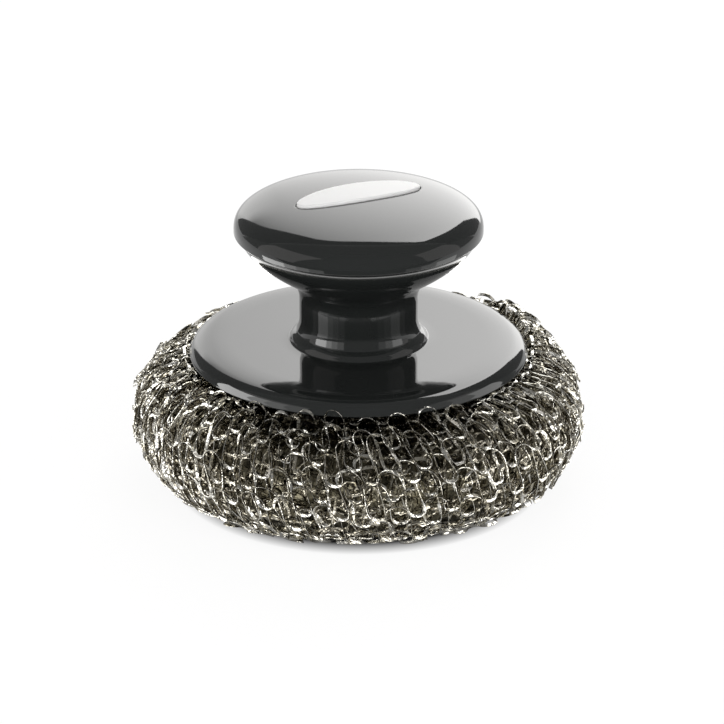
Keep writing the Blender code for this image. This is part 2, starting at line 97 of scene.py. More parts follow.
# Knob cap
CAP_SEGMENTS = 256
KNOB_RADIUS = 0.0276
EQUATOR_LEVEL = 0.05933
DOME_HEIGHT = 0.00866
DOME_POWER = 2.92
DOME_ROWS = 72
DOME_ROW_EASE = 2.4
LIP_DEPTH = 0.0004
LIP_INSET = 0.0009
LIP_STEPS = 12
CAP_INNER_RADIUS = 0.0252
CAP_INSIDE_RISE = 0.002
APEX_LEVEL = EQUATOR_LEVEL + DOME_HEIGHT

# Inlay plate and its recess, whose rounded edge passes these distances outward and down
INLAY_SEGMENTS = 192
INLAY_HALF_LENGTH = 0.0148
INLAY_HALF_WIDTH = 0.0049
INLAY_ANGLE = radians(25)
INLAY_PROUD = 0.0006
INLAY_EDGE_ROUNDING = 0.0004
INLAY_EDGE_STEPS = 8
INLAY_ROWS = 13
INLAY_GAP = 0.0002
INLAY_SEAT_GAP = 0.0003
RECESS_DEPTH = 0.0022
RECESS_EDGE = ((0.0, 0.0002), (0.00005, 0.00004))
RECESS_FLOOR_SHARE = 0.9
DOME_EDGE_GAP = 0.00015

# Pad section
PAD_BORE_RADIUS = 0.0123
PAD_HEIGHT = 0.0301
SOLE_OUTER_RADIUS = 0.0321
SOLE_INNER_RADIUS = 0.0245
DIMPLE_WIDTH = 0.0071
DIMPLE_HEIGHT = 0.0075
PAD_SIDE_DEPTH = 0.0184
PAD_SIDE_POWER = 2.4
PAD_SIDE_STEPS = 200
DIMPLE_STEPS = 40
LINE_POINTS = 800
SMOOTHING_POINTS = 15

# Knitted ribbon: the stitch is drawn flat, and its width is then shared out round the pad
WALES = 38
STITCH_WIDTH = 0.0080
LOOP_HEIGHT = 0.0109
HEAD_BEND = 0.0027
FOOT_BEND = 0.0018
FOOT_STEPS = 4
LEG_STEPS = 4
HEAD_STEPS = 5
RIBBON_WIDTH = 0.00075
RIBBON_THICKNESS = 0.00015

# How unevenly the courses lie
HEIGHT_SPREAD = 0.07
DOWN_SPREAD = 0.0003
DOWN_WAVE = 0.0005
WALE_SPREAD = 0.035
LEAN_WAVE = 0.015
OUT_WAVE = 0.0003
FINE_TWIST = radians(22)
FINE_TWISTS_PER_KNOT = 5
COURSES_END_GAP = 0.002
LINE_START_GAP = 0.0005
LINE_END_GAP = 0.0002

# Feet of the stitches: the ribbon lies flatter there, and tips down and outward
FLAT_REACH = 0.0015
FLAT_CALM = 0.8
FOOT_TILT_ON_TOP = radians(16)
FOOT_TILT_LOWEST = radians(71)
FOOT_TILT_RISE = radians(29)
FOOT_SPREAD = radians(8)
TOP_FACING = 0.77
TOP_FACING_SPREAD = 0.3

# First arches, which stand up before the flange's rim at the front
RIM_ROW = 0.0262
RIM_STAND_OFF = 0.0008
RIM_CLIMB_REACH = radians(50)
CLIMB_STEEPNESS = 1.15
CLIMB_START = 0.0002
CLIMB_GAIN = 3
LEAST_CLIMB = 0.3
CLIMB_DIP = 0.22
CLIMB_DIP_ANGLE = radians(-52)
CLIMB_DIP_REACH = radians(24)

# Where the pad bulges, is drawn in and keeps clear
HUMP_ANGLE = radians(34)
HUMP_REACH = radians(24)
HUMP_HEIGHT = 0.0034
HUMP_RADII = (0.0385, 0.0400, 0.0430, 0.0495)
HUMP_SHARES = (0, 1, 1, 0)
SOLE_TUCK = 0.0010
SOLE_TUCK_STRETCH = (0.047, 0.056)
SOLE_CLEARANCE = 0.0001
SOLE_DEPTH_SHARE = 0.3
FLANGE_CLEARANCE = 0.0005

# Room for each course on its bake picture
STRIPS_PER_COURSE = 4
STRIP_FILL = 0.9

# Core of the pad, under the knit
CORE_SEGMENTS = 128
CORE_DEPTH_STRETCH = (0.050, 0.060)
CORE_DEPTHS = (0.0052, 0.0034)
CORE_FIRST_POINT = 4
CORE_POINT_STEP = 6
CORE_MOUTH_DROP = 0.006
CORE_FOOT_RISE = 0.005
SAME_PLACE = 1e-6

# Soft panel of the studio: its plane, its outline on that plane and how its light grows across it
PANEL_FOOT = (0.62, 0.02)
PANEL_TOP = (0.171, 0.534)
PANEL_OUTLINE = [
    (-0.36, -0.02), (0.40, -0.02), (0.30, 0.25), (0.25, 0.45), (0.225, 0.52), (0.232, 0.74),
    (0.224, 0.95), (0.19, 0.97), (0.11, 0.945), (0.03, 0.92), (-0.06, 0.91), (-0.10, 0.88),
    (-0.125, 0.815), (-0.16, 0.74), (-0.20, 0.68), (-0.225, 0.62), (-0.25, 0.50)]
PANEL_LEVEL = 3.2
PANEL_FULL = 8.0
PANEL_SLOPE_ACROSS = 2.6
PANEL_FOOT_SHARE = 0.48
PANEL_SLOPE_UP = 2.3
PANEL_BEND_UP = 1.0
PANEL_SOFTENING = 0.68
PANEL_LEFT_LIFT = 0.60
PANEL_LEFT_END = (0.09, 0.25)
PANEL_LEFT_TOP = (0.24, 0.30)
PANEL_BACKING = 0.01

# Cards round the brush: how bright they are, and where they stand
DIM_LEVEL = 0.28
DUSK_LEVEL = 0.22
LEFT_GLOW_LEVEL = 0.95
RIGHT_GLOW_LEVEL = 0.8
FRONT_FILL_LEVEL = 1.9
CARD_HALF_WIDTH = 0.75
BACK_SHARES = (0.1, 1.05)
ROOF_SHARE = 1.06
FRONT_FOOT = (-0.26, 0.004)
FRONT_TOP = -0.45
FRONT_FILL_FOOT = (-0.26, 0.01)
FRONT_FILL_TOP = -0.44
FRONT_FILL_DROP = 0.02
SIDE_FOOT = ((0.60, 0.45, 0.03), (0.60, -0.32, 0.03))
SIDE_TOP = ((0.70, -0.40), (0.70, 0.20))
LEFT_GLOW_ENDS = ((-0.32, -0.50), (-0.59, 0.10))
RIGHT_GLOW_ENDS = ((0.50, -0.29), (0.58, 0.11))
GLOW_HEIGHTS = (0.003, 0.57)
NEAR_FLOOR_EDGES = ((-0.10, 0.0015), (-0.60, 0.0015))

# Low upright strips outside the pad, by their angles and light, and a low ring further out
ARC_STEPS = 48
LOW_STRIP_RADIUS = 0.056
LOW_STRIP_HEIGHTS = (0.0335, 0.0505)
LOW_STRIPS = (
    (-166, -145, 7.0), (-145, -135, 3.2), (-135, -125, 2.0), (-125, -114, 1.2),
    (-57, -45, 0.7), (-45, -32, 1.2), (-32, -12, 2.6))
LOW_RING_RADIUS = 0.075
LOW_RING_HEIGHTS = (0.001, 0.0135)
LOW_RING_LEVEL = 5.0

# Floor and air: what of their light is plain background, the painted shadow on the floor under the pad, and
# the painted shade that gloss meets there
FLOOR_COLOUR = (0.12, 0.12, 0.12, 1)
FLOOR_REACH = 6.0
FLOOR_LEVEL = 0.45
FLOOR_SEEN_LEVEL = 0.46
FLOOR_PAINTED_SHADOW_REACH = (0.036, 0.042)
FLOOR_MIRRORED_PAINTED_SHADE = 0.75
FLOOR_MIRRORED_SHADE_REACH = (0.048, 0.056)
AIR_LEVEL = 0.25


class Value:
    """One socket of a node tree. Arithmetic on it adds Math nodes."""

    def __init__(self, finish, socket):
        self.finish = finish
        self.socket = socket

    def math(self, operation, *values):
        return self.finish.add("Math", {"operation": operation}, dict(enumerate(values)))

    def __add__(self, other):
        return self.math("ADD", self, other)

    __radd__ = __add__

    def __sub__(self, other):
        return self.math("SUBTRACT", self, other)

    def __rsub__(self, other):
        return self.math("SUBTRACT", other, self)

    def __mul__(self, other):
        return self.math("MULTIPLY", self, other)

    __rmul__ = __mul__

    def clamped(self):
        return self.math("MINIMUM", self.math("MAXIMUM", self, 0.0), 1.0)

    def above(self, low, high):
        """0 below low, 1 above high, and straight in between."""
        return ((self - low) * (1 / (high - low))).clamped()


class Finish:
    """A material or world being built out of nodes."""

    def __init__(self, name, owner=None):
        self.owner = owner or bpy.data.materials.new(name)
        self.owner.use_nodes = True
        self.tree = self.owner.node_tree
        self.tree.nodes.clear()

    def add(self, kind, settings=None, sockets=None, output=0):
        """Adds a node, gives it its settings and then its sockets, and returns one of its outputs."""
        node = self.tree.nodes.new("ShaderNode" + kind)
        for name, setting in (settings or {}).items():
            setattr(node, name, setting)
        for name, value in (sockets or {}).items():
            if isinstance(value, Value):
                self.tree.links.new(value.socket, node.inputs[name])
            else:
                node.inputs[name].default_value = value
        if node.outputs:
            return Value(self, node.outputs[output])

    def place(self):
        return self.add("TexCoord", output="Object")

    def noise(self, scale, detail=2.0, roughness=0.5):
        sockets = {"Vector": self.place(), "Scale": scale, "Detail": detail, "Roughness": roughness}
        return self.add("TexNoise", {}, sockets, output="Fac")

    def mix_colour(self, share, first, second):
        sockets = {0: share, 6: (*first, 1), 7: (*second, 1)}
        return self.add("Mix", {"data_type": "RGBA"}, sockets, output=2)

    def bump(self, height, strength, distance):
        return self.add("Bump", {}, {"Height": height, "Strength": strength, "Distance": distance})

    def surface(self, shader, kind="OutputMaterial"):
        """Ends the material, or the world, with a shader made by add."""
        self.add(kind, {}, {"Surface": shader})
        return self.owner


def gloss_black(name):
    """Polished black moulding: faint waviness, and a dull bloom in places."""
    finish = Finish(name)
    bloom = finish.noise(scale=45.0, detail=3.0)
    waviness = finish.noise(scale=60.0, detail=1.0)
    shader = finish.add("BsdfPrincipled", {}, {
        "Base Color": finish.mix_colour(bloom, (0.011, 0.0125, 0.012), (0.016, 0.0175, 0.017)),
        "Roughness": 0.06 + bloom.above(0.5, 0.75) * 0.03,
        "IOR": 1.5,
        "Normal": finish.bump(waviness, strength=0.05, distance=0.0004),
    })
    return finish.surface(shader)


def plain_white(name):
    """Satin white of the inlay, with the slightest mottle."""
    finish = Finish(name)
    mottle = finish.noise(scale=220.0)
    shader = finish.add("BsdfPrincipled", {}, {
        "Base Color": finish.mix_colour(mottle, (0.80, 0.80, 0.795), (0.84, 0.84, 0.835)),
        "Roughness": 0.34 + mottle * 0.08,
        "Specular IOR Level": 0.25,
    })
    return finish.surface(shader)


def steel_ribbon(name, light, dark, roughness):
    """Flattened stainless wire: crinkled by the knitting, and darker and duller where it has tarnished."""
    finish = Finish(name)
    tarnish = finish.noise(scale=330.0, detail=3.0, roughness=0.6)
    crinkle = finish.noise(scale=900.0)
    shader = finish.add("BsdfPrincipled", {}, {
        "Base Color": finish.mix_colour(tarnish.above(0.35, 0.68), light, dark),
        "Metallic": 1.0,
        "Roughness": roughness + tarnish.above(0.4, 0.7) * 0.10,
        "Normal": finish.bump(crinkle, strength=1.0, distance=0.0003),
    })
    return finish.surface(shader)


def steel_hardware(name, colour, roughness):
    """Plated or turned metal: fine scratches and a slightly uneven tone."""
    finish = Finish(name)
    tone = finish.noise(scale=500.0, detail=3.0)
    shader = finish.add("BsdfPrincipled", {}, {
        "Base Color": finish.mix_colour(tone, colour, [0.8 * part for part in colour]),
        "Metallic": 1.0,
        "Roughness": roughness + tone * 0.15,
        "Normal": finish.bump(finish.noise(scale=3000.0), strength=0.1, distance=0.0001),
    })
    return finish.surface(shader)


def matt_black(name, colour, roughness):
    """Moulded black with a fine spark-eroded grain."""
    finish = Finish(name)
    grain = finish.noise(scale=1800.0, detail=3.0)
    shader = finish.add("BsdfPrincipled", {}, {
        "Base Color": finish.mix_colour(grain, colour, [1.4 * part for part in colour]),
        "Roughness": roughness + grain * 0.15,
        "Normal": finish.bump(grain, strength=0.3, distance=0.0001),
    })
    return finish.surface(shader)


def add_piece(name, verts, faces, material, replaced=()):
    mesh = bpy.data.meshes.new(name)
    mesh.from_pydata(verts, [], faces)
    mesh.validate()
    mesh.shade_smooth()
    mesh.materials.append(material)
    piece = bpy.data.objects.new(name, mesh)
    bpy.context.scene.collection.objects.link(piece)
    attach(piece, "root")
    if replaced:
        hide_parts(*replaced)
    return piece


def arc(centre, radius, start, end, steps):
    """Points on a circle round centre, from the angle start to the angle end, both included."""
    angles = [start + (end - start) * step / steps for step in range(steps + 1)]
    return [(centre[0] + radius * cos(angle), centre[1] + radius * sin(angle)) for angle in angles]


def bent_line(start, control, end, steps):
    """Points from start to end, drawn towards the control point."""
    points = []
    for step in range(steps + 1):
        t = step / steps
        points.append(tuple(start[i] * (1 - t) ** 2 + control[i] * 2 * t * (1 - t) + end[i] * t ** 2
                            for i in range(2)))
    return points


def smooth_share(share):
    """A share from 0 to 1, made to start and end level."""
    return share * share * (3 - 2 * share)


def grid_faces(rows, columns, closed_rows=False):
    """Quads between neighbouring rows of points that run round in closed columns."""
    faces = []
    last = rows if closed_rows else rows - 1
    for row in range(last):
        below = row * columns
        above = (row + 1) % rows * columns
        for column in range(columns):
            after = (column + 1) % columns
            faces.append((below + column, below + after, above + after, above + column))
    return faces


def turned_points(outline, segments, first_angle=0.0):
    """The outline's (radius, height) points, turned round the Z axis."""
    verts = []
    for radius, level in outline:
        for segment in range(segments):
            angle = 2 * pi * segment / segments + first_angle
            verts.append((radius * cos(angle), radius * sin(angle), level))
    return verts


def dome_level(radius):
    share = max(0.0, 1 - (radius / KNOB_RADIUS) ** 2)
    return EQUATOR_LEVEL + DOME_HEIGHT * share ** (1 / DOME_POWER)


def oval_point(angle, margin):
    """A point of the inlay's oval, moved out by the margin."""
    along = (INLAY_HALF_LENGTH + margin) * cos(angle)
    across = (INLAY_HALF_WIDTH + margin) * sin(angle)
    return (along * cos(INLAY_ANGLE) - across * sin(INLAY_ANGLE),
            along * sin(INLAY_ANGLE) + across * cos(INLAY_ANGLE))


def oval_row(segments, margin, level_at):
    row = []
    for segment in range(segments):
        x, y = oval_point(2 * pi * segment / segments, margin)
        row.append((x, y, level_at(hypot(x, y))))
    return row


def dome_row(share):
    """A row of the dome, between its recess (0) and its equator (1)."""
    grow = 1 - (1 - share) ** DOME_ROW_EASE
    row = []
    for segment in range(CAP_SEGMENTS):
        angle = 2 * pi * segment / CAP_SEGMENTS
        x, y = oval_point(angle, INLAY_GAP + DOME_EDGE_GAP)
        x += (KNOB_RADIUS * cos(angle + INLAY_ANGLE) - x) * grow
        y += (KNOB_RADIUS * sin(angle + INLAY_ANGLE) - y) * grow
        row.append((x, y, dome_level(min(hypot(x, y), KNOB_RADIUS))))
    return row


def make_knob_cap(material):
    """The domed cap. Its rows of points pass from the inlay's oval recess to the round rim."""
    floor = APEX_LEVEL - RECESS_DEPTH
    rows = [oval_row(CAP_SEGMENTS, -INLAY_HALF_WIDTH * RECESS_FLOOR_SHARE, lambda radius: floor),
            oval_row(CAP_SEGMENTS, INLAY_GAP, lambda radius: floor)]
    for outward, down in RECESS_EDGE:
        rows.append(oval_row(CAP_SEGMENTS, INLAY_GAP + outward, lambda radius: dome_level(radius) - down))
    rows += [dome_row(step / DOME_ROWS) for step in range(DOME_ROWS + 1)]
    rim = [(KNOB_RADIUS - LIP_INSET * (1 - across), EQUATOR_LEVEL + LIP_DEPTH * down)
           for across, down in arc((0, 0), 1, 0, -pi / 2, LIP_STEPS)[1:]]
    rim += [(CAP_INNER_RADIUS, EQUATOR_LEVEL - LIP_DEPTH),
            (CAP_INNER_RADIUS, EQUATOR_LEVEL + CAP_INSIDE_RISE)]
    verts = [point for row in rows for point in row] + turned_points(rim, CAP_SEGMENTS, INLAY_ANGLE)
    faces = grid_faces(len(rows) + len(rim), CAP_SEGMENTS)
    faces.append(tuple(range(CAP_SEGMENTS))[::-1])
    add_piece("knob_cap_dome", verts, faces, material, ["knob_cap"])


def make_inlay(material):
    """The oval plate, proud of the dome, with a rounded edge."""
    segments = INLAY_SEGMENTS
    floor = APEX_LEVEL - RECESS_DEPTH + INLAY_SEAT_GAP
    rows = [oval_row(segments, 0, lambda radius: floor)]
    for step in range(INLAY_EDGE_STEPS + 1):
        angle = pi / 2 * step / INLAY_EDGE_STEPS
        inset = INLAY_EDGE_ROUNDING * (1 - cos(angle))
        rise = INLAY_PROUD - INLAY_EDGE_ROUNDING * (1 - sin(angle))
        rows.append(oval_row(segments, -inset, lambda radius: dome_level(radius) + rise))
    for step in range(1, INLAY_ROWS):
        inset = INLAY_EDGE_ROUNDING + (INLAY_HALF_WIDTH - INLAY_EDGE_ROUNDING) * step / INLAY_ROWS
        rows.append(oval_row(segments, -inset, lambda radius: dome_level(radius) + INLAY_PROUD))
    ridge = oval_row(segments, -INLAY_HALF_WIDTH, lambda radius: dome_level(radius) + INLAY_PROUD)
    faces = grid_faces(len(rows), segments)
    faces.append(tuple(range(segments))[::-1])
    last_row, ridge_start = (len(rows) - 1) * segments, len(rows) * segments
    for column in range(segments):
        after = (column + 1) % segments
        here, there = (ridge_start + min(place, segments - place) for place in (column, after))
        faces.append((last_row + column, last_row + after, there, here))
    verts = [point for row in rows for point in row] + ridge[:segments // 2 + 1]
    add_piece("inlay_oval", verts, faces, material, ["inlay_plate"])


def underside_line():
    """The knob's underside, from the seam down its slope and round into the neck."""
    slope_start = (NECK_RADIUS + NECK_FILLET * (1 - sin(UNDERSIDE_SLOPE)),
                   NECK_TOP + NECK_FILLET * cos(UNDERSIDE_SLOPE))
    slope_end_radius = BODY_RIM_RADIUS - UNDERSIDE_TUCK
    slope_end = (slope_end_radius,
                 slope_start[1] + tan(UNDERSIDE_SLOPE) * (slope_end_radius - slope_start[0]))
    points = bent_line((BODY_RIM_RADIUS, SEAM_LEVEL), slope_end, slope_start, UNDERSIDE_STEPS)
    return points + arc((NECK_RADIUS + NECK_FILLET, NECK_TOP), NECK_FILLET,
                        pi / 2 + UNDERSIDE_SLOPE, pi, FILLET_STEPS)[1:]


def foot_line():
    """The neck's flare, and the slightly bulging skirt that it stands on."""
    skirt_top = FLANGE_TOP + SKIRT_HEIGHT
    points = bent_line((NECK_RADIUS, skirt_top + FLARE_HEIGHT),
                       (NECK_RADIUS, skirt_top + FLARE_HEIGHT / 2),
                       (SKIRT_TOP_RADIUS, skirt_top), FLARE_STEPS)
    skirt_drop = skirt_top - FLANGE_CROWN - SKIRT_SEAT / 2
    for step in range(1, SKIRT_STEPS):
        share = step / SKIRT_STEPS
        bulge = SKIRT_BULGE * 4 * share * (1 - share)
        points.append((SKIRT_TOP_RADIUS + (SKIRT_FOOT_RADIUS - SKIRT_TOP_RADIUS) * share + bulge,
                       skirt_top - skirt_drop * share))
    seat = (SKIRT_FOOT_RADIUS + SKIRT_SEAT, FLANGE_CROWN + SKIRT_SEAT)
    return points + arc(seat, SKIRT_SEAT, SKIRT_SEAT_START, 1.5 * pi, SKIRT_SEAT_STEPS)


def flange_line():
    """The flange's top, flat round the skirt and then down its crown, and the rounding under its rim."""
    seat = SKIRT_FOOT_RADIUS + SKIRT_SEAT
    points = [(seat + (CROWN_RADII[0] - seat) * step / FLANGE_FLAT_STEPS, FLANGE_CROWN)
              for step in range(1, FLANGE_FLAT_STEPS + 1)]
    radii = np.linspace(CROWN_RADII[0], CROWN_RADII[-1], CROWN_STEPS + 1)
    slopes = np.radians(np.interp(radii, CROWN_RADII, CROWN_SLOPES))
    drops = np.cumsum(np.tan(slopes)) * (radii[1] - radii[0])
    points += [(float(radius), FLANGE_CROWN - float(drop)) for radius, drop in zip(radii[1:], drops[1:])]
    rounding = RIM_LOWER_ROUNDING
    return points + arc((FLANGE_RADIUS - rounding, FLANGE_BOTTOM + rounding), rounding,
                        0, -pi / 2, RIM_ROUNDING_STEPS)


def inside_line():
    """From under the flange down the spigot, up the bore and round to the ring that the cap sits over."""
    inner, outer = SEAT_RING_RADII
    ring_top = SEAM_LEVEL + SEAT_RING_HEIGHT
    return [(SPIGOT_RADIUS, FLANGE_BOTTOM), (SPIGOT_RADIUS, SPIGOT_BOTTOM),
            (NECK_BORE_RADIUS, SPIGOT_BOTTOM), (NECK_BORE_RADIUS, NECK_BORE_TOP), *INSIDE_SLOPE,
            (inner, SEAM_LEVEL), (inner, ring_top), (outer, ring_top), (outer, SEAM_LEVEL)]


def make_handle_body(material):
    """Underside of the knob, waisted neck and round flange, turned in one."""
    outline = underside_line() + foot_line() + flange_line() + inside_line()
    verts = turned_points(outline, BODY_SEGMENTS)
    faces = grid_faces(len(outline), BODY_SEGMENTS, closed_rows=True)
    add_piece("handle_body_turned", verts, faces, material, ["handle_body"])


def pad_line():
    """The pad's section as even points from the top mouth round to the dimple, with outward normals."""
    points = [(PAD_BORE_RADIUS, PAD_HEIGHT)]
    middle = PAD_HEIGHT / 2
    for step in range(PAD_SIDE_STEPS + 1):
        angle = pi / 2 - pi * step / PAD_SIDE_STEPS
        out = abs(cos(angle)) ** (2 / PAD_SIDE_POWER)
        up = copysign(abs(sin(angle)) ** (2 / PAD_SIDE_POWER), angle)
        points.append((SOLE_OUTER_RADIUS + PAD_SIDE_DEPTH * out, middle * (1 + up)))
    for step in range(DIMPLE_STEPS + 1):
        share = step / DIMPLE_STEPS
        points.append((SOLE_INNER_RADIUS - DIMPLE_WIDTH * share, DIMPLE_HEIGHT * smooth_share(share)))
    line = np.array(points)
    length = np.concatenate([[0], np.cumsum(np.hypot(*np.diff(line, axis=0).T))])
    even = np.linspace(0, length[-1], LINE_POINTS)
    smooth = np.stack([np.interp(even, length, line[:, axis]) for axis in range(2)], 1)
    kernel = np.ones(SMOOTHING_POINTS) / SMOOTHING_POINTS
    beyond = SMOOTHING_POINTS // 2
    padded = np.pad(smooth, ((beyond, beyond), (0, 0)), mode="edge")
    smooth = np.stack([np.convolve(padded[:, axis], kernel, "valid") for axis in range(2)], 1)
    along = unit(np.gradient(smooth, even, axis=0))
    return even, smooth, np.stack([-along[:, 1], along[:, 0]], 1)


def unit(vectors):
    return vectors / np.linalg.norm(vectors, axis=1)[:, None]


def waves(rng, angle, amplitude, counts):
    """A slow random wave round the pad."""
    total = np.zeros_like(angle)
    for count in counts:
        total += rng.normal() * np.cos(count * angle + rng.uniform(0, 2 * pi))
    return amplitude * total / len(counts) ** 0.5


def eased(values, place):
    """The values, read round a closed course and eased from one to the next."""
    index = np.floor(place).astype(int)
    share = smooth_share(place - index)
    return values[index % len(values)] * (1 - share) + values[(index + 1) % len(values)] * share


def knots_along(rng, spread, half_turn):
    """One random number for each half stitch, eased from one to the next along the ribbon."""
    return eased(rng.normal(0, spread, 2 * WALES), half_turn)


def turns_along(rng, spread, half_turn, finer=1):
    """The ribbon's twist: mostly slight, and now and then a wide one that shows its flat side."""
    values = spread / 2 * rng.normal(0, 1, finer * 2 * WALES) ** 3
    return eased(values, half_turn * finer)


def stitch_line(every):
    """One stitch, from a foot over its head to the next foot: share of its width, rise and length so far."""
    lean = STITCH_WIDTH / 2 - HEAD_BEND - FOOT_BEND
    head_centre = LOOP_HEIGHT - HEAD_BEND
    half = arc((0, FOOT_BEND), FOOT_BEND, -pi / 2, 0, FOOT_STEPS)
    for step in range(1, LEG_STEPS):
        share = step / LEG_STEPS
        half.append((FOOT_BEND + lean * smooth_share(share),
                     FOOT_BEND + (head_centre - FOOT_BEND) * share))
    half += arc((STITCH_WIDTH / 2, head_centre), HEAD_BEND, pi, pi / 2, HEAD_STEPS)
    back = [(STITCH_WIDTH - x, y) for x, y in half[-2:0:-1]]
    line = np.array((half + back)[::every])
    steps = np.hypot(*np.diff(line, axis=0, append=[[STITCH_WIDTH, 0]]).T)
    along = np.concatenate([[0], np.cumsum(steps)])
    return line[:, 0] / STITCH_WIDTH, line[:, 1], along[:-1], along[-1]


def stitches_round(every):
    """A closed course's points: angle, rise, half stitches so far and length to the nearest foot."""
    across, rise, along, length = stitch_line(every)
    wale = np.repeat(np.arange(WALES), len(across))
    across, rise, along = (np.tile(values, WALES) for values in (across, rise, along))
    angle = (wale + across) * 2 * pi / WALES
    half_turn = 2 * (wale + along / length)
    return angle, rise, half_turn, np.minimum(along, length - along)


def ribbon_profile(sides):
    """The flat ribbon's section, with 4 corners or 6."""
    if sides == 4:
        profile = [(0.5, 0), (0, 0.5), (-0.5, 0), (0, -0.5)]
    else:
        profile = [(0.5, 0), (0.38, 0.5), (-0.38, 0.5), (-0.5, 0), (-0.38, -0.5), (0.38, -0.5)]
    return np.array(profile) * (RIBBON_WIDTH, RIBBON_THICKNESS)


def climb_rim(down, turn, radius, level, away, up):
    """At the front the first arches don't go under the flange: they stand up before its rim."""
    from_front = (turn + pi / 2 + pi) % (2 * pi) - pi
    dip = CLIMB_DIP * np.exp(-((from_front - CLIMB_DIP_ANGLE) / CLIMB_DIP_REACH) ** 2)
    climb = np.maximum(LEAST_CLIMB - dip, 1 - (from_front / RIM_CLIMB_REACH) ** 2)
    over = np.maximum(0, RIM_ROW - down)
    share = np.minimum(1, over / RIM_STAND_OFF) * np.minimum(1, CLIMB_GAIN * climb)
    foot = np.argmin(np.abs(down - RIM_ROW))
    rise = (over * CLIMB_STEEPNESS + CLIMB_START) * climb
    radius = radius + share * (radius[foot] + RIM_STAND_OFF - radius)
    level = level + share * (level[foot] + rise - level)
    return radius, level, away * (1 - share) + share, up * (1 - share)


def hump(radius, turn, up):
    """How far the pad stands up beside the flange, behind and to the right."""
    aside = (turn - HUMP_ANGLE + pi) % (2 * pi) - pi
    near = np.exp(-(aside / HUMP_REACH) ** 2) * np.interp(radius, HUMP_RADII, HUMP_SHARES)
    return HUMP_HEIGHT * near * (up > 0)


def foot_facing(rng, turn, level, up, half_turn):
    """Where the ribbon's width points at a foot: nearly level on top of the pad, steeply down at its side."""
    in_front = np.maximum(0, -np.sin(turn))
    lying = up > TOP_FACING + TOP_FACING_SPREAD * in_front * knots_along(rng, 1.0, half_turn)
    tip = np.where(lying, FOOT_TILT_ON_TOP, FOOT_TILT_LOWEST + FOOT_TILT_RISE * level / PAD_HEIGHT)
    tip = tip + knots_along(rng, FOOT_SPREAD, half_turn)
    return np.stack([np.cos(tip) * np.cos(turn), np.cos(tip) * np.sin(turn), -np.sin(tip)], 1)


def lay_course(rng, course, depth, knit, section, stitches):
    """One course's middle line, where the ribbon's width points along it and how near a foot it is."""
    even, line, normal = section
    angle, rise, half_turn, from_foot = stitches
    slack = knit["slack"]
    head = knit["start"] + course * knit["spacing"]
    height = knit["height"] * (1 + knots_along(rng, HEIGHT_SPREAD * slack, half_turn))
    down = head + LOOP_HEIGHT * knit["height"] - rise * height
    down = down + knots_along(rng, DOWN_SPREAD * slack, half_turn)
    down = down + waves(rng, angle, DOWN_WAVE * slack, (2, 3, 5, 8))
    shift = knit["offset"] + knots_along(rng, WALE_SPREAD * slack, half_turn)
    turn = angle + 2 * pi / WALES * shift
    turn = turn + knit["lean"] * (down - even[-1] / 2) + waves(rng, angle, LEAN_WAVE, (1, 2, 4))
    down = np.clip(down, LINE_START_GAP, even[-1] - LINE_END_GAP)
    out = knit["ripple"] * np.cos(2 * pi * half_turn) + knots_along(rng, knit["rough"], half_turn)
    out = out + waves(rng, angle, OUT_WAVE, (3, 5, 7, 11)) - depth
    radius, level = (np.interp(down, even, line[:, axis]) for axis in range(2))
    away, up = (np.interp(down, even, normal[:, axis]) for axis in range(2))
    if knit["climbs"] and course:
        radius, level, away, up = climb_rim(down, turn, radius, level, away, up)

    out = out - SOLE_TUCK * np.interp(down, SOLE_TUCK_STRETCH, (0, 1))
    radius = radius + away * out
    lowest = RIBBON_WIDTH / 2 + SOLE_CLEARANCE + SOLE_DEPTH_SHARE * depth
    level = np.maximum(level + up * out, lowest) + hump(radius, turn, up)
    under_flange = (radius < FLANGE_RADIUS + FLANGE_CLEARANCE) & (up > 0)
    level = np.where(under_flange, np.minimum(level, FLANGE_BOTTOM - FLANGE_CLEARANCE), level)
    centre = np.stack([radius * np.cos(turn), radius * np.sin(turn), level], 1)
    outward = np.stack([away * np.cos(turn), away * np.sin(turn), up], 1)
    flat = np.exp(-(from_foot / FLAT_REACH) ** 2)[:, None]
    outward = outward * (1 - flat) + foot_facing(rng, turn, level, up, half_turn) * flat
    return centre, outward, flat


def ribbon_corners(rng, centre, outward, flat, twist_spread, profile, half_turn):
    """The ribbon's section at each point of its line, square to the line and a little twisted."""
    tangent = unit(np.roll(centre, -1, 0) - np.roll(centre, 1, 0))
    outward = unit(outward - (outward * tangent).sum(1)[:, None] * tangent)
    sideways = np.cross(tangent, outward)
    twist = turns_along(rng, twist_spread, half_turn)
    twist = twist + turns_along(rng, FINE_TWIST, half_turn, finer=FINE_TWISTS_PER_KNOT)
    twist = twist[:, None] * (1 - FLAT_CALM * flat)
    wide = (np.cos(twist) * outward + np.sin(twist) * sideways)[:, None]
    thin = (np.cos(twist) * sideways - np.sin(twist) * outward)[:, None]
    return (centre[:, None] + profile[None, :, :1] * wide + profile[None, :, 1:] * thin).reshape(-1, 3)


def ribbon_faces(points, sides):
    """Quads between each section of a closed ribbon and the next."""
    here = np.arange(points)[:, None] * sides
    after = np.roll(here, -1, 0)
    corner = np.arange(sides)[None]
    beside = np.roll(corner, -1, 1)
    quads = np.stack([here + corner, here + beside, after + beside, after + corner], 2)
    return quads.reshape(-1, 4)


def ribbon_patches(course, courses, points, sides):
    """Room for each quad on the bake picture: a course is cut into strips, one over the other."""
    run = -(-points // STRIPS_PER_COURSE)
    strips = courses * STRIPS_PER_COURSE
    point, corner = np.broadcast_arrays(np.arange(points)[:, None], np.arange(sides)[None])
    left = point % run / run
    right = left + 1 / run
    low = (course * STRIPS_PER_COURSE + point // run + corner * STRIP_FILL / sides) / strips
    high = low + STRIP_FILL / sides / strips
    return np.stack([left, low, left, high, right, high, right, low], 2).reshape(-1)


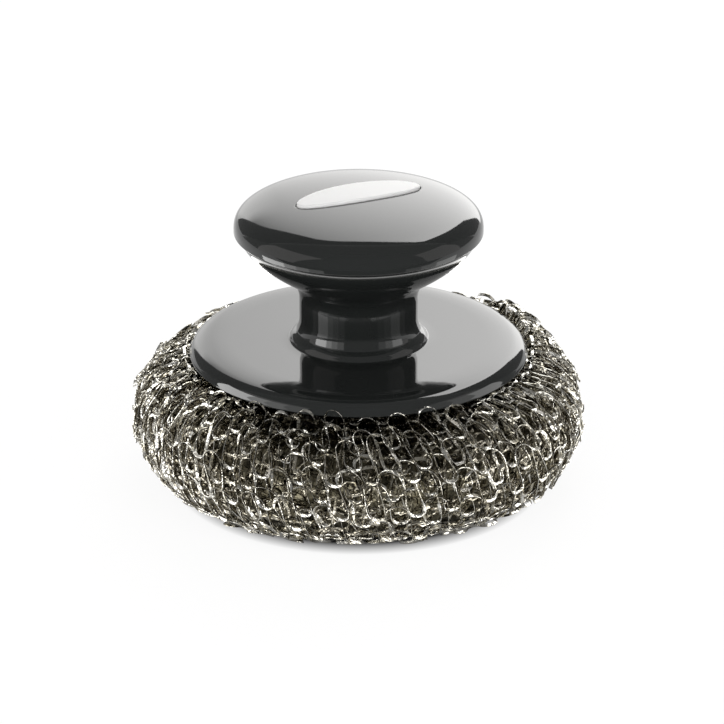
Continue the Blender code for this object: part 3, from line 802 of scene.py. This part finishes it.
def knit_layer(name, material, replaced, depth, seed, knit):
    """One turn of the knitted tube: closed courses of looped ribbon, laid round the pad's section."""
    rng = np.random.default_rng(seed)
    section = pad_line()
    stitches = stitches_round(knit["every"])
    half_turn = stitches[2]
    profile = ribbon_profile(knit["sides"])
    points, sides = len(half_turn), len(profile)
    courses = int((section[0][-1] - COURSES_END_GAP - knit["start"]) / knit["spacing"])
    verts, faces, patches = [], [], []
    for course in range(courses):
        centre, outward, flat = lay_course(rng, course, depth, knit, section, stitches)
        verts.append(ribbon_corners(rng, centre, outward, flat, knit["twist"], profile, half_turn))
        faces.append(ribbon_faces(points, sides) + course * points * sides)
        patches.append(ribbon_patches(course, courses, points, sides))
    piece = add_piece(name, np.concatenate(verts), np.concatenate(faces), material, replaced)
    piece.data.shade_flat()
    layout = piece.data.uv_layers.new(name="OFBake")
    layout.data.foreach_set("uv", np.concatenate(patches).astype(np.float32))


def make_core(material):
    """The tightly rolled middle of the pad, a little inside its surface, in steel darkened to painted shade.
    """
    even, line, normal = pad_line()
    depth = np.interp(even, CORE_DEPTH_STRETCH, CORE_DEPTHS)[:, None]
    inside = (line - normal * depth)[CORE_FIRST_POINT::CORE_POINT_STEP]
    outline = [(PAD_BORE_RADIUS, PAD_HEIGHT - CORE_MOUTH_DROP)]
    outline += [tuple(point) for point in inside if point[0] > PAD_BORE_RADIUS - SAME_PLACE]
    outline.append((PAD_BORE_RADIUS, DIMPLE_HEIGHT + CORE_FOOT_RISE))
    verts = turned_points(outline, CORE_SEGMENTS)
    faces = grid_faces(len(outline), CORE_SEGMENTS, closed_rows=True)
    core = add_piece("pad_core", verts, faces, material, ["pad_core_roll"])


def make_pad():
    """Six knitted layers, looser outside and more tangled further in, over the core. The deeper layers and
    the core are darker copies of the steel, as painted shade.
    """
    outer_steel = steel_ribbon("ribbon_outer", (0.68, 0.67, 0.63), (0.29, 0.27, 0.215), 0.06)
    # Painted shade: the four deeper layers take a darker copy of the same steel, for the shade inside the
    # pad.
    inner_steel_painted_shade = steel_ribbon("ribbon_inner_painted_shade", (0.52, 0.49, 0.42), (0.14, 0.127, 0.088), 0.08)
    # Painted shade: the core is the same steel, coloured nearly black for the shade deep in the pad.
    core_painted_shade = steel_ribbon("core_shadow", (0.17, 0.155, 0.11), (0.025, 0.023, 0.017), 0.3)
    loose = {"start": 0.0153, "spacing": 0.0079, "height": 1.0, "offset": 0.0, "lean": 5.0,
             "ripple": 0.0003, "rough": 0.0003, "twist": radians(20), "slack": 1.0, "climbs": True,
             "every": 1, "sides": 6}
    beneath = dict(loose, start=0.0193, offset=0.5, lean=4.0, twist=radians(26), slack=1.4, climbs=False)
    tangled = dict(beneath, start=0.0160, spacing=0.0049, height=0.80, rough=0.0006, twist=radians(48),
                   slack=2.2, every=2, sides=4)
    knit_layer("knit_skin", outer_steel, ["pad_outer_layer"],
               depth=0.0002, seed=11, knit=loose)
    knit_layer("knit_skin_under", outer_steel, [],
               depth=0.0011, seed=12, knit=beneath)
    knit_layer("knit_middle", inner_steel_painted_shade, ["pad_middle_layer"],
               depth=0.0020, seed=13, knit=dict(tangled, lean=-3.0))
    knit_layer("knit_middle_under", inner_steel_painted_shade, [],
               depth=0.0029, seed=14, knit=dict(tangled, offset=0.25, lean=2.0))
    knit_layer("knit_roll", inner_steel_painted_shade, [],
               depth=0.0038, seed=15, knit=dict(tangled, lean=-6.0))
    knit_layer("knit_roll_under", inner_steel_painted_shade, [],
               depth=0.0046, seed=16, knit=dict(tangled, offset=0.7, lean=6.0))
    make_core(core_painted_shade)


def finish_hardware():
    """Gives the fasteners and the clamp plate, which stay as packed, their metal and moulded finishes."""
    zinc = steel_hardware("zinc_plating", (0.60, 0.60, 0.60), 0.28)
    wire = steel_hardware("tie_wire", (0.50, 0.50, 0.49), 0.32)
    brass = steel_hardware("brass_insert", (0.75, 0.58, 0.28), 0.28)
    moulded = matt_black("moulded_plate", (0.02, 0.02, 0.022), 0.4)
    finishes = {"gather_wire": wire, "clamp_plate": moulded, "pad_bolt": zinc, "spring_washer": zinc,
                "flat_washer": zinc, "threaded_insert": brass, "cap_screw_1": zinc, "cap_screw_2": zinc,
                "cap_screw_3": zinc}
    for node, material in finishes.items():
        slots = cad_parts[node].data.materials
        slots.clear()
        slots.append(material)


def make_camera():
    camera = bpy.data.objects.new("camera", bpy.data.cameras.new("camera"))
    bpy.context.scene.collection.objects.link(camera)
    camera.location = (0, -CAMERA_DISTANCE, CAMERA_HEIGHT)
    camera.rotation_euler = (pi / 2 - CAMERA_PITCH, 0, 0)
    camera.data.sensor_width = SENSOR_MM
    camera.data.lens = CAMERA_FOCAL_PIXELS * SENSOR_MM / PICTURE_PIXELS
    camera.data.shift_x = -AXIS_OFFSET_PIXELS / PICTURE_PIXELS
    camera.data.clip_start, camera.data.clip_end = CAMERA_CLIP
    bpy.context.scene.camera = camera


def seen_background(finish):
    """1 for rays that should meet the plain white background: from the camera, or off gloss or glass."""
    camera, gloss, glass = (finish.add("LightPath", output=name) for name in
                            ("Is Camera Ray", "Is Glossy Ray", "Is Transmission Ray"))
    return (camera + gloss + glass).clamped()


def add_stage(name, verts, faces, material):
    mesh = bpy.data.meshes.new(name)
    mesh.from_pydata(verts, [], faces)
    mesh.materials.append(material)
    item = bpy.data.objects.new(name, mesh)
    bpy.context.scene.collection.objects.link(item)
    return item


def make_floor():
    """A wide pale floor. Most of its white is plain background, and the rest is lit, so shadows stay. Under
    the pad its light is painted out as a shadow, and painted darker still for gloss.
    """
    finish = Finish("pale_floor")
    lit = finish.add("BsdfDiffuse", {}, {"Color": FLOOR_COLOUR})
    away = finish.add("VectorMath", {"operation": "LENGTH"}, {0: finish.place()}, output="Value")
    # Painted shade: gloss rays meet the floor much darker under the pad, so the lower ribbons mirror dark.
    mirrored_painted_shade = finish.add("LightPath", output="Is Glossy Ray") * FLOOR_MIRRORED_PAINTED_SHADE
    # Painted shadow: the floor's light fades out under the pad for every ray.
    painted_shade = away.above(*FLOOR_PAINTED_SHADOW_REACH) * (1 - mirrored_painted_shade * (1 - away.above(*FLOOR_MIRRORED_SHADE_REACH)))
    level = (FLOOR_LEVEL + seen_background(finish) * FLOOR_SEEN_LEVEL) * painted_shade
    plain = finish.add("Emission", {}, {"Color": (1, 1, 1, 1), "Strength": level})
    material = finish.surface(finish.add("AddShader", {}, {0: lit, 1: plain}))
    corners = [(x * FLOOR_REACH, y * FLOOR_REACH, 0) for x, y in ((-1, -1), (1, -1), (1, 1), (-1, 1))]
    add_stage("floor", corners, [(0, 1, 2, 3)], material)


def make_world():
    world = bpy.data.worlds.new("studio_air")
    finish = Finish("studio_air", world)
    level = AIR_LEVEL + seen_background(finish) * (1 - AIR_LEVEL)
    background = finish.add("Background", {}, {"Color": (1, 1, 1, 1), "Strength": level})
    finish.surface(background, kind="OutputWorld")
    bpy.context.scene.world = world


def glow(name, level, colour=(1, 1, 1)):
    """The even light of a card."""
    finish = Finish(name)
    return finish.surface(finish.add("Emission", {}, {"Color": (*colour, 1), "Strength": level}))


def finish_panel(name, strength):
    """The soft panel's light, which grows to the right and upwards, and is lifted at its low left end."""
    finish = Finish(name)
    across = finish.add("SeparateXYZ", {}, {0: finish.place()}, output="X")
    up = finish.add("SeparateXYZ", {}, {0: finish.place()}, output="Z")
    left_end = (0 - across).above(*PANEL_LEFT_END) * (1 - up.above(*PANEL_LEFT_TOP)) * PANEL_LEFT_LIFT
    growth_up = PANEL_FOOT_SHARE + up * PANEL_SLOPE_UP - up * up * PANEL_BEND_UP
    level = (1 + across * PANEL_SLOPE_ACROSS + left_end) * growth_up
    tone = finish.mix_colour(level * (PANEL_LEVEL / PANEL_FULL), (0, 0, 0), (1, 0.995, 0.985))
    return finish.surface(finish.add("Emission", {}, {"Color": tone, "Strength": strength}))


def panel_point(x, share, behind=0.0):
    """A point of the slanted plane behind the brush, from its foot (0) to its upper edge (1)."""
    (low_y, low_z), (high_y, high_z) = PANEL_FOOT, PANEL_TOP
    return (x, low_y + (high_y - low_y) * share + behind, low_z + (high_z - low_z) * share + behind)


def card(name, corners, material):
    """A flat studio card, which the camera doesn't see."""
    item = add_stage(name, corners, [tuple(range(len(corners)))], material)
    item.visible_camera = False
    return item


def wide_card(name, first_edge, last_edge, material):
    """A card as wide as the studio, between two edges given by their places along Y and Z."""
    half = CARD_HALF_WIDTH
    corners = [(-half, *first_edge), (half, *first_edge), (half, *last_edge), (-half, *last_edge)]
    return card(name, corners, material)


def upright_card(name, start, end, heights, material):
    low, high = heights
    return card(name, [(*start, low), (*end, low), (*end, high), (*start, high)], material)


def gloss_only(item):
    """Keeps a card to what it is for, its mirror image in the gloss."""
    item.visible_diffuse = False
    item.visible_shadow = False


def arc_card(name, radius, heights, start, end, material):
    """A low upright card bent round the brush outside its pad, from one angle to another."""
    line = arc((0, 0), radius, radians(start), radians(end), ARC_STEPS)
    corners = [(x, y, level) for level in heights for x, y in line]
    above = len(line)
    faces = [(step, step + 1, step + above + 1, step + above) for step in range(ARC_STEPS)]
    item = add_stage(name, corners, faces, material)
    item.visible_camera = False
    gloss_only(item)


def make_studio():
    """One big soft panel behind and over the brush, with dim cards in front, overhead and at the sides."""
    outline = [panel_point(x, share) for x, share in PANEL_OUTLINE]
    card("panel", outline, finish_panel("soft_panel", PANEL_FULL)).visible_diffuse = False
    softened = finish_panel("softened_panel", PANEL_FULL * PANEL_SOFTENING)
    card("panel_fill", outline, softened).visible_glossy = False

    dim = glow("dim_card", DIM_LEVEL)
    dusk = glow("dusk_card", DUSK_LEVEL)
    back_foot, back_top = (panel_point(0, share, PANEL_BACKING)[1:] for share in BACK_SHARES)
    roof_back = panel_point(0, ROOF_SHARE, PANEL_BACKING)[1:]
    roof = roof_back[1]
    wide_card("back_card", back_foot, back_top, dusk)
    wide_card("roof_card", roof_back, (FRONT_TOP, roof), dim)
    wide_card("front_card", FRONT_FOOT, (FRONT_TOP, roof), dim)
    for side, name in ((-1, "left"), (1, "right")):
        corners = [(side * x, y, z) for x, y, z in SIDE_FOOT]
        corners += [(side * x, y, roof) for x, y in SIDE_TOP]
        card("side_card_" + name, corners, dim)
    upright_card("side_glow_left", *LEFT_GLOW_ENDS, GLOW_HEIGHTS,
                 glow("left_glow", LEFT_GLOW_LEVEL, (1, 0.97, 0.96)))
    upright_card("side_glow_right", *RIGHT_GLOW_ENDS, GLOW_HEIGHTS,
                 glow("right_glow", RIGHT_GLOW_LEVEL, (1, 0.97, 0.96)))
    fill = wide_card("front_fill_card", FRONT_FILL_FOOT, (FRONT_FILL_TOP, roof - FRONT_FILL_DROP),
                     glow("front_fill", FRONT_FILL_LEVEL))
    fill.visible_glossy = False
    fill.visible_shadow = False

    for start, end, level in LOW_STRIPS:
        name = "low_strip_%d" % -start
        arc_card(name, LOW_STRIP_RADIUS, LOW_STRIP_HEIGHTS, start, end, glow(name, level, (1, 1, 0.99)))
    arc_card("low_ring", LOW_RING_RADIUS, LOW_RING_HEIGHTS, -180, 180,
             glow("low_ring_light", LOW_RING_LEVEL, (1, 0.99, 0.97)))
    gloss_only(wide_card("near_floor_card", *NEAR_FLOOR_EDGES, dusk))


def main():
    make_knob_cap(gloss_black("cap_gloss_black"))
    make_inlay(plain_white("inlay_white"))
    make_handle_body(gloss_black("body_gloss_black"))
    finish_hardware()
    make_pad()
    make_camera()
    make_floor()
    make_world()
    make_studio()
    bpy.context.scene.view_settings.view_transform = "Standard"


main()
